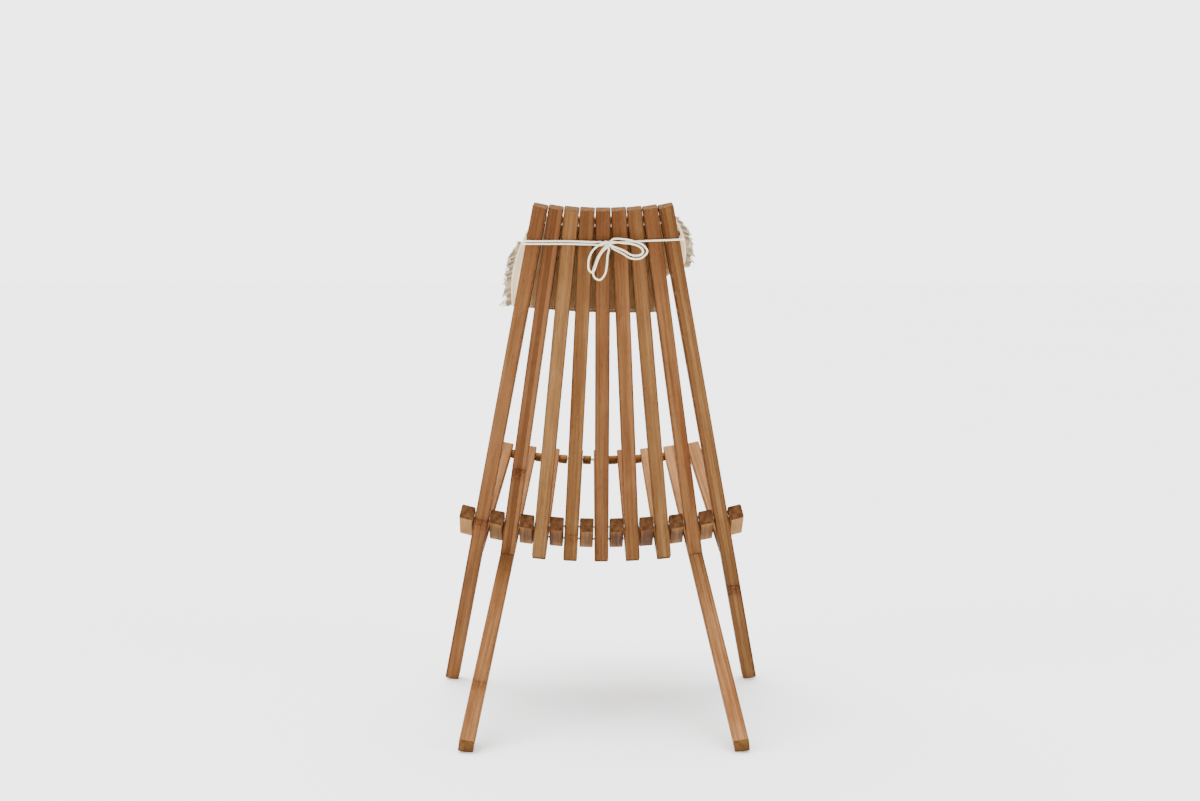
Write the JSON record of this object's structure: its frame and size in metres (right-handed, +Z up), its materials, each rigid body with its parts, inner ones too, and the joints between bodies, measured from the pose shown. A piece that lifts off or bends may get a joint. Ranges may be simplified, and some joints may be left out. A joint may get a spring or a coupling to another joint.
{
  "type": "folding recliner",
  "caption": "Low folding lounge chair of square bamboo sticks fanned on wires, with long back slats as front legs, long seat slats as rear legs and a tied linen head pillow.",
  "frame": {"origin": "on the floor under the middle of the chair's box", "axes": "+Z up, +Y to the rear, +X to the side that is on the left when the chair is seen from behind"},
  "size_m": [0.5738, 0.7776, 0.8714],
  "materials": {
    "bamboo_brown": "satin oiled bamboo",
    "bamboo_red": "satin oiled bamboo",
    "bamboo_golden": "satin oiled bamboo",
    "bamboo_seat": "satin oiled bamboo",
    "bamboo_block": "satin oiled bamboo",
    "spacer_wood": "satin turned wood",
    "wire_steel": "drawn steel",
    "linen": "matt woven linen",
    "linen_fray": "matt frayed linen",
    "cotton_cord": "matt cotton cord"
  },
  "bodies": {
    "back": {"back_slat_1": "bamboo_brown", "back_slat_2": "bamboo_red", "back_slat_3": "bamboo_golden", "back_slat_4": "bamboo_golden", "back_slat_5": "bamboo_red", "back_slat_6": "bamboo_brown", "back_slat_7": "bamboo_golden", "back_slat_8": "bamboo_brown", "back_slat_9": "bamboo_golden", "link_block_1": "bamboo_block", "link_block_2": "bamboo_block", "link_block_3": "bamboo_block", "link_block_4": "bamboo_block", "link_block_5": "bamboo_block", "link_block_6": "bamboo_block", "link_block_7": "bamboo_block", "link_block_8": "bamboo_block", "link_block_9": "bamboo_block", "link_block_10": "bamboo_block", "top_wire": "wire_steel", "back_wire": "wire_steel", "seat_wire": "wire_steel", "head_pillow": "linen", "frayed_end_1": "linen_fray", "frayed_end_2": "linen_fray", "bow_knot": "cotton_cord", "tie_strand_1": "cotton_cord", "tie_strand_2": "cotton_cord", "tie_strand_3": "cotton_cord", "bow_loop_1": "cotton_cord", "bow_loop_2": "cotton_cord", "bow_loop_3": "cotton_cord", "bow_loop_4": "cotton_cord"},
    "seat_1": {"seat_slat_1": "bamboo_seat", "front_wire_1": "wire_steel", "spacer_1": "spacer_wood"},
    "seat_2": {"seat_slat_2": "bamboo_seat", "front_wire_2": "wire_steel", "spacer_2": "spacer_wood"},
    "seat_3": {"seat_slat_3": "bamboo_seat", "front_wire_3": "wire_steel", "spacer_3": "spacer_wood"},
    "seat_4": {"seat_slat_4": "bamboo_seat", "front_wire_4": "wire_steel", "spacer_4": "spacer_wood"},
    "seat_5": {"seat_slat_5": "bamboo_seat", "front_wire_5": "wire_steel"},
    "seat_6": {"seat_slat_6": "bamboo_seat", "front_wire_6": "wire_steel", "spacer_5": "spacer_wood"},
    "seat_7": {"seat_slat_7": "bamboo_seat", "front_wire_7": "wire_steel", "spacer_6": "spacer_wood"},
    "seat_8": {"seat_slat_8": "bamboo_seat", "front_wire_8": "wire_steel", "spacer_7": "spacer_wood"},
    "seat_9": {"seat_slat_9": "bamboo_seat", "front_wire_9": "wire_steel", "spacer_8": "spacer_wood"}
  },
  "joints": [
    {"name": "seat_fold", "type": "hinge", "parent": "back", "child": "seat_5", "pos_m": [0, -0.13597, 0.26711], "axis": [-1, 0, 0], "range_deg": [0, 87.5]},
    {"name": "seat_fold_1", "type": "hinge", "parent": "back", "child": "seat_1", "pos_m": [0.21499, -0.13902, 0.28529], "axis": [-0.9903, 0.023, -0.1373], "range_deg": [0, 87.5]},
    {"name": "seat_fold_2", "type": "hinge", "parent": "back", "child": "seat_2", "pos_m": [0.16145, -0.13768, 0.27733], "axis": [-0.9945, 0.0173, -0.1031], "range_deg": [0, 87.5]},
    {"name": "seat_fold_3", "type": "hinge", "parent": "back", "child": "seat_3", "pos_m": [0.10773, -0.13673, 0.27165], "axis": [-0.9976, 0.0115, -0.0688], "range_deg": [0, 87.5]},
    {"name": "seat_fold_4", "type": "hinge", "parent": "back", "child": "seat_4", "pos_m": [0.05389, -0.13616, 0.26825], "axis": [-0.9994, 0.0058, -0.0344], "range_deg": [0, 87.5]},
    {"name": "seat_fold_6", "type": "hinge", "parent": "back", "child": "seat_6", "pos_m": [-0.05389, -0.13616, 0.26825], "axis": [-0.9994, -0.0058, 0.0344], "range_deg": [0, 87.5]},
    {"name": "seat_fold_7", "type": "hinge", "parent": "back", "child": "seat_7", "pos_m": [-0.10773, -0.13673, 0.27165], "axis": [-0.9976, -0.0115, 0.0688], "range_deg": [0, 87.5]},
    {"name": "seat_fold_8", "type": "hinge", "parent": "back", "child": "seat_8", "pos_m": [-0.16145, -0.13768, 0.27733], "axis": [-0.9945, -0.0173, 0.1031], "range_deg": [0, 87.5]},
    {"name": "seat_fold_9", "type": "hinge", "parent": "back", "child": "seat_9", "pos_m": [-0.21499, -0.13902, 0.28529], "axis": [-0.9903, -0.023, 0.1373], "range_deg": [0, 87.5]}
  ],
  "couplings": [
    {"joint": "seat_fold_1", "follows": "seat_fold", "ratio": 1},
    {"joint": "seat_fold_2", "follows": "seat_fold", "ratio": 1},
    {"joint": "seat_fold_3", "follows": "seat_fold", "ratio": 1},
    {"joint": "seat_fold_4", "follows": "seat_fold", "ratio": 1},
    {"joint": "seat_fold_6", "follows": "seat_fold", "ratio": 1},
    {"joint": "seat_fold_7", "follows": "seat_fold", "ratio": 1},
    {"joint": "seat_fold_8", "follows": "seat_fold", "ratio": 1},
    {"joint": "seat_fold_9", "follows": "seat_fold", "ratio": 1}
  ]
}
